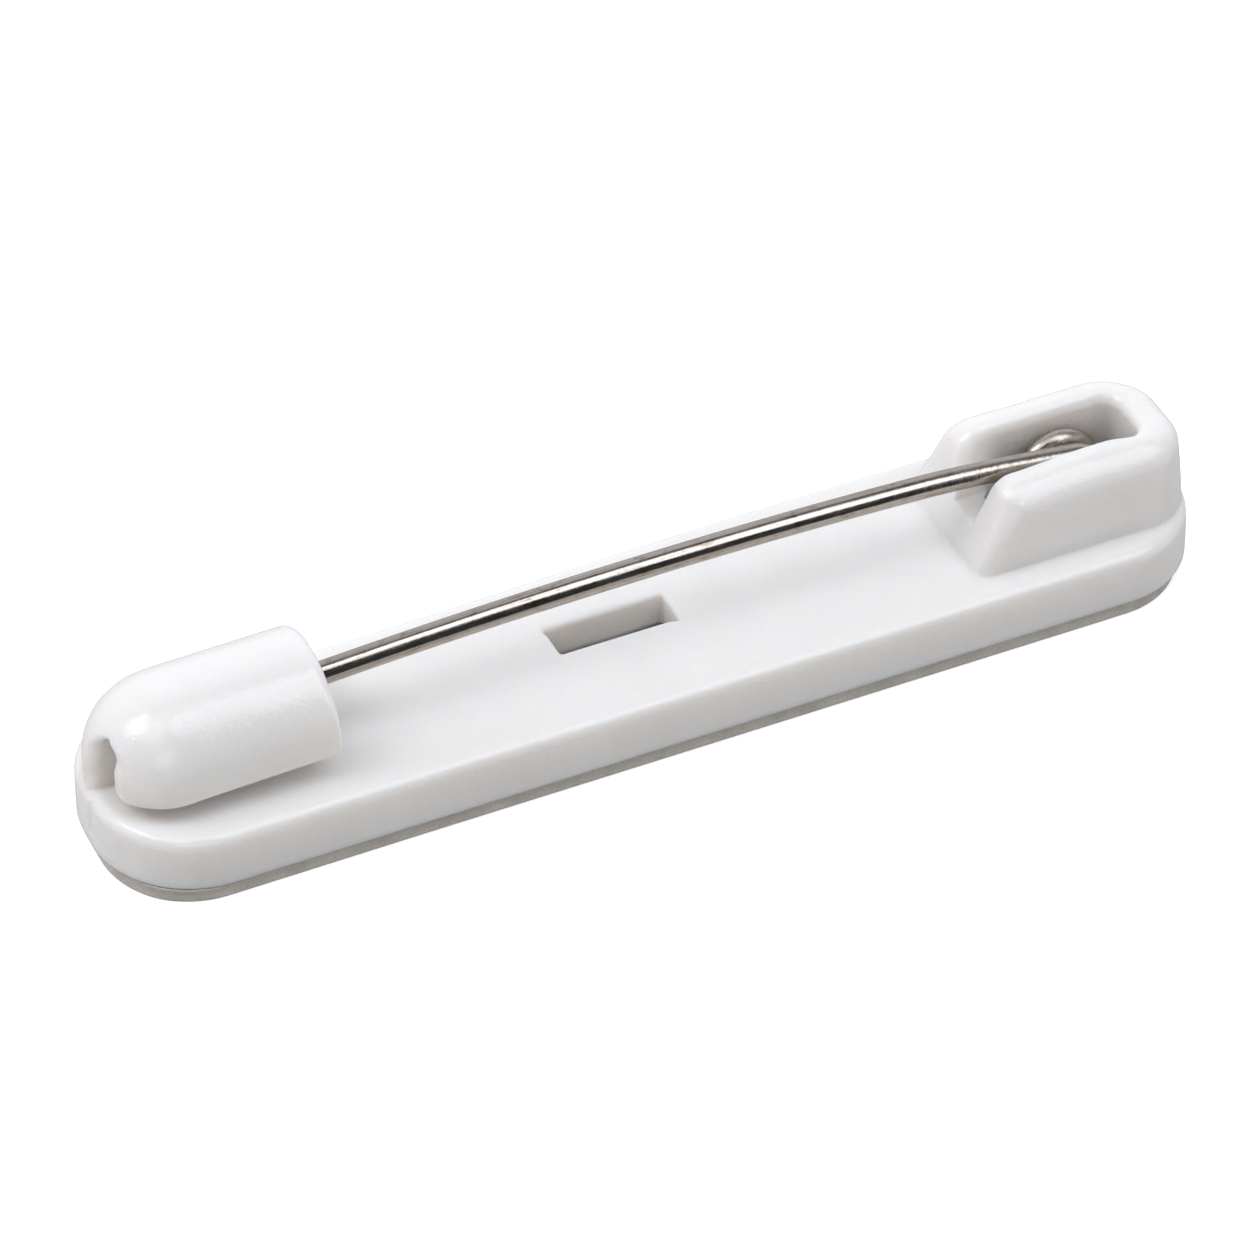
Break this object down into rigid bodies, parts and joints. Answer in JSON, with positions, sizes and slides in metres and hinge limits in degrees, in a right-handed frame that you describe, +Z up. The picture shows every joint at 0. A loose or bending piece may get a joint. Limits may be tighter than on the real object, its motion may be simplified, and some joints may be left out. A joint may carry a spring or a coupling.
{
  "type": "pin back",
  "caption": "White moulded bar pin back with a domed catch hood, a coil housing, a sprung steel pin and a foam mounting pad",
  "frame": {"origin": "centre of the foam pad's underside, where the pin back is stuck down", "axes": "+X runs along the bar from the catch hood to the coil housing, +Y across it away from the hood's open side, +Z up from the stuck-down face"},
  "size_m": [0.032, 0.0064, 0.005],
  "materials": {
    "white_plastic": "white injection-moulded plastic, fine satin grain, slightly translucent",
    "steel_wire": "bright drawn spring-steel wire with faint draw lines",
    "foam": "grey-beige closed-cell foam with adhesive faces"
  },
  "bodies": {
    "bar": {"bar_moulding": "white_plastic", "foam_pad": "foam"},
    "pin": {"pin_wire": "steel_wire"}
  },
  "joints": [
    {"name": "pin_press", "type": "hinge", "parent": "bar", "child": "pin", "pos_m": [0.0126, 0, 0.00276], "axis": [0, -1, 0], "range_deg": [0, 3.2], "stiffness_Nm_per_rad": 0.002, "springref_deg": -2.86}
  ]
}
